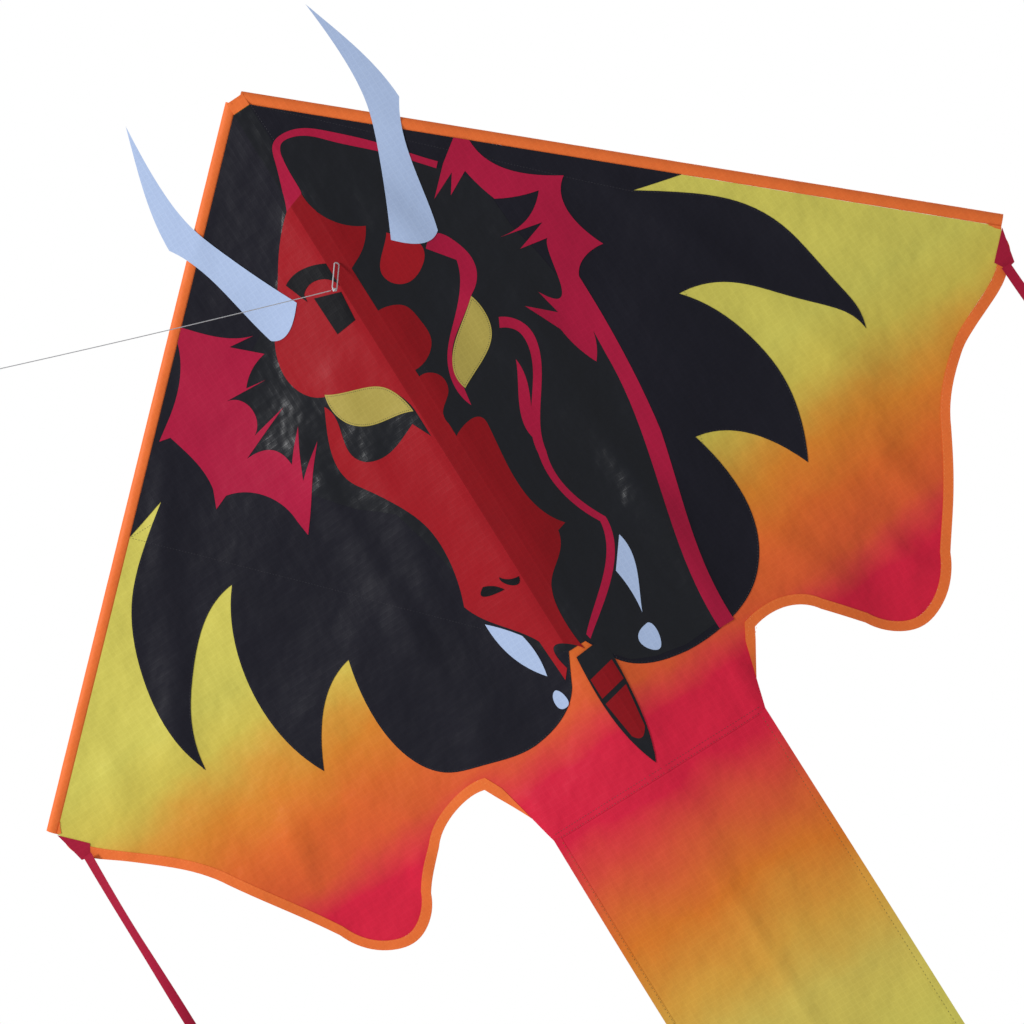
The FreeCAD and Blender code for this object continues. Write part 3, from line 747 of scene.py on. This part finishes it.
def streamer(side):
    """A narrow ribbon hung from the wing tip, with a slow twist and a little sway."""
    sign = SIDES[side]
    fore, aft = [], []
    downs = np.linspace(0, STREAMER_LENGTH - 4, 200)
    for down in downs:
        twist = sign * 2.6 * step(np.array(down), 60, 600) + 0.25 * math.sin(down / 60)
        sway_x = 5 * math.sin(down / 150) * min(1, down / 120)
        sway_f = 5 * math.sin(down / 110 + 0.6) * min(1, down / 120)
        centre = np.array([sign * STREAMER_OUT + sway_x, 1.35 + sway_f])
        along = np.array([math.cos(twist), math.sin(twist)])
        normal = np.array([-along[1], along[0]])
        for w in (-5, -2.5, 0, 2.5, 5):
            cup = 0.5 * (1 - (w / 5) ** 2) * step(np.array(down), 20, 120)
            for bag, lift in ((fore, 0.12), (aft, -0.12)):
                spot = centre + along * w + normal * (lift + cup)
                bag.append(place(spot[0], STREAMER_TOP + down, spot[1], side, False))
    return grid_shell("ribbon_" + side, fore, aft, len(downs), 5, RIBBON)


for side in ("left", "right"):
    piece = streamer(side)
    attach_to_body(piece, side + "_streamer")
    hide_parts(side + "_streamer")


# ---------------------------------------------------------------- stitching
def stitches(name, lines, side, front, material, gap=4.0, length=2.6, width=0.5, placer=None):
    """One mesh of short raised dashes along lines of panel points."""
    points, faces = [], []
    spots = []
    for line in lines:
        path = np.array(line, float)
        runs = np.hypot(*np.diff(path, axis=0).T)
        reach = np.concatenate([[0], np.cumsum(runs)])
        for start in np.arange(gap / 2, reach[-1] - length, gap):
            ends = [
                [np.interp(s, reach, path[:, 0]), np.interp(s, reach, path[:, 1])]
                for s in (start, start + length)
            ]
            spots.append(ends)
    for (x1, d1), (x2, d2) in spots:
        run = np.array([x2 - x1, d2 - d1])
        run = run / max(np.linalg.norm(run), 1e-6)
        over = np.array([-run[1], run[0]]) * width / 2
        base = len(points)
        middle = ((x1 + x2) / 2, (d1 + d2) / 2)
        plan = [
            (x1, d1, front - 0.05), (middle[0] + over[0], middle[1] + over[1], front),
            (x2, d2, front - 0.05), (middle[0] - over[0], middle[1] - over[1], front),
            (middle[0], middle[1], front + 0.16), (middle[0], middle[1], front - 0.12),
        ]
        for x, down, f in plan:
            spot = placer(np.array(x), np.array(down), f) if placer else place(x, down, f, side)
            points.append(spot)
        for i in range(4):
            k = (i + 1) % 4
            faces += [(base + i, base + k, base + 4), (base + k, base + i, base + 5)]
    return add_object(name, points, faces, material, smooth=False)


def inset(loop, distance):
    """A loop moved inward by distance."""
    ring = np.array(loop)
    ring = ring[::2] if len(ring) > 60 else ring
    before, after = np.roll(ring, 1, axis=0), np.roll(ring, -1, axis=0)
    heading = after - before
    heading /= np.maximum(np.hypot(heading[:, 0], heading[:, 1])[:, None], 1e-6)
    area = 0.5 * np.sum(ring[:, 0] * after[:, 1] - after[:, 0] * ring[:, 1])
    normal = np.stack([-heading[:, 1], heading[:, 0]], axis=-1) * (1 if area > 0 else -1)
    moved = ring + normal * distance
    return [*map(tuple, moved), tuple(moved[0])]


# stitching round an edge: how far in, its front, thread, pitch, length and width of a dash
SEWN_EDGES = {
    "eye": (1.6, 1.55, THREAD_OLIVE, 2.2, 1.7, 0.9),
    "binding": (1.4, 1.02, THREAD_ORANGE, 4, 2.6, 0.5),
    "mane": (1.2, 0.88, THREAD_BLACK, 3.2, 2.2, 0.45),
}
for side in ("left", "right"):
    for label, (distance, front, material, gap, length, width) in SEWN_EDGES.items():
        paths = [inset(loop, distance) for loop in outlines[f"{side}_{label}"]]
        name = f"stitch_{side}_{label}"
        piece = stitches(name, paths, side, front, material, gap, length, width)
        attach(piece, side, "yellow_cloth" if label == "eye" else "black_cloth")
for side in ("left", "centre", "right"):
    ends = [(-121, -9.5), (-9.5, 9.5), (9.5, 121)][SIDES[side] + 1]
    paths = [[(ends[0], SPINE_DROP - drop), (ends[1], SPINE_DROP - drop)] for drop in (1.2, 6.5)]
    name = "stitch_seam_" + side
    piece = stitches(name, paths, side, 0.48, THREAD_RED, 3.2, 2.5, 0.7)
    attach(piece, side, "red_cloth")
tail_lines = [
    [(-TAIL_HALF + TAIL_HEM - 1.2, TAIL_TOP + 4), (-TAIL_HALF + TAIL_HEM - 1.2, TAIL_END - 2)],
    [(TAIL_HALF - TAIL_HEM + 1.2, TAIL_TOP + 4), (TAIL_HALF - TAIL_HEM + 1.2, TAIL_END - 2)],
]
tail_stitches = stitches(
    "stitch_tail", tail_lines, "centre", 0.45, THREAD_OLIVE, 4, 2.6, 0.6, placer=tail_point
)
on_tail(tail_stitches, "yellow_cloth")


# ---------------------------------------------------------------- knots and flying line
def knot(name, centre, size, thickness, lean):
    """A trefoil of cord pulled tight."""
    spin = Matrix.Rotation(lean, 3, "X") @ Matrix.Rotation(0.6, 3, "Y")
    rings = []
    total = 72
    path = []
    for i in range(total):
        t = math.tau * i / total
        path.append(spin @ Vector((
            math.sin(t) + 2 * math.sin(2 * t), math.cos(t) - 2 * math.cos(2 * t), -1.4 * math.sin(3 * t),
        )) * (size / 6) + Vector(centre))
    for i, spot in enumerate(path):
        heading = (path[(i + 1) % total] - path[i - 1]).normalized()
        side_way = heading.cross((spot - Vector(centre)).normalized()).normalized()
        out = side_way.cross(heading)
        ring = []
        for j in range(8):
            angle = math.tau * j / 8
            ring.append(spot + (side_way * math.cos(angle) + out * math.sin(angle)) * thickness / 2)
        rings.append([tuple(p) for p in ring])
    points = [p for ring in rings for p in ring]
    faces = []
    for i in range(total):
        for j in range(8):
            k, n = (j + 1) % 8, (i + 1) % total
            faces.append((i * 8 + j, i * 8 + k, n * 8 + k, n * 8 + j))
    return add_object(name, points, faces, CORD)


def centre_of(node):
    low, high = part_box(node)
    return [(a + b) / 2 for a, b in zip(low, high)]


tow_knot = knot("knot_tow", centre_of("tow_knot"), 0.0042, 0.0012, 0.4)
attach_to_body(tow_knot, "tow_loop")
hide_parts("tow_knot")
end_low, end_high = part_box("line_end_knot")
end_size = (Vector(end_high) - Vector(end_low)).length / math.sqrt(3)
end_knot = knot("knot_end", centre_of("line_end_knot"), end_size * 0.95, 0.0009, 1.1)
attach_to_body(end_knot, "flying_line")
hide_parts("line_end_knot")

line_data = bpy.data.curves.new("flying_line", "CURVE")
line_data.dimensions = "3D"
spline = line_data.splines.new("NURBS")
spline.points.add(len(LINE_ROUTE) - 1)
for point, spot in zip(spline.points, LINE_ROUTE):
    point.co = (*spot, 1)
spline.order_u = 3
spline.use_endpoint_u = True
spline.resolution_u = 32
line_data.bevel_depth = LINE_DIAMETER / 2
line_data.bevel_resolution = 4
line_data.use_fill_caps = True
line_data.materials.append(CORD)
line = bpy.data.objects.new("line_cord", line_data)
bpy.context.scene.collection.objects.link(line)
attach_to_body(line, "flying_line")
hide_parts("flying_line")

# ---------------------------------------------------------------- CAD pieces that keep their shape
KEPT = {
    "left_spar": ROD, "right_spar": ROD, "spine_spar": ROD, "spreader": ROD,
    "left_spar_caps": VINYL, "right_spar_caps": VINYL, "spine_spar_caps": VINYL,
    "left_spreader_fitting": VINYL, "right_spreader_fitting": VINYL, "tow_loop": CORD,
}
for name, material in KEPT.items():
    slots = nodes[name].material_slots
    for slot in slots:
        slot.material = material

# ---------------------------------------------------------------- floor, light and world
FLOOR = plain_material("floor", linear(244, 244, 244), linear(238, 238, 238), 0.9, 3)
FLOOR_RADIUS = 5
FLOOR_HEIGHT = -2.14
FLOOR_SIDES = 96
turns = [math.tau * i / FLOOR_SIDES for i in range(FLOOR_SIDES)]
ring = [(FLOOR_RADIUS * math.cos(t), FLOOR_RADIUS * math.sin(t), FLOOR_HEIGHT) for t in turns]
floor = add_object("floor", ring, [tuple(range(FLOOR_SIDES))], FLOOR, smooth=False)

world = bpy.data.worlds.new("studio")
bpy.context.scene.world = world
world.use_nodes = True
sky = world.node_tree
sky.nodes["Background"].inputs["Color"].default_value = (0.96, 0.98, 1.0, 1)
sky.nodes["Background"].inputs["Strength"].default_value = 0.55
backdrop = sky.nodes.new("ShaderNodeBackground")
backdrop.inputs["Color"].default_value = (1, 1, 1, 1)
either = sky.nodes.new("ShaderNodeMixShader")
rays = sky.nodes.new("ShaderNodeLightPath")
sky.links.new(rays.outputs["Is Camera Ray"], either.inputs[0])
sky.links.new(sky.nodes["Background"].outputs[0], either.inputs[1])
sky.links.new(backdrop.outputs[0], either.inputs[2])
sky.links.new(either.outputs[0], sky.nodes["World Output"].inputs[0])


def area_light(name, place_at, aim, power, size):
    data = bpy.data.lights.new(name, "AREA")
    data.energy = power
    data.size = size
    light = bpy.data.objects.new(name, data)
    light.location = place_at
    light.rotation_euler = (Vector(aim) - Vector(place_at)).to_track_quat("-Z", "Y").to_euler()
    bpy.context.scene.collection.objects.link(light)


area_light("key", (-2.6, -1.9, 1.9), (0, 0, -0.3), 125, 0.7)
area_light("rim", (2.0, 2.8, 1.4), (0, 0, -0.6), 60, 1.5)
bpy.context.scene.view_settings.view_transform = "Standard"
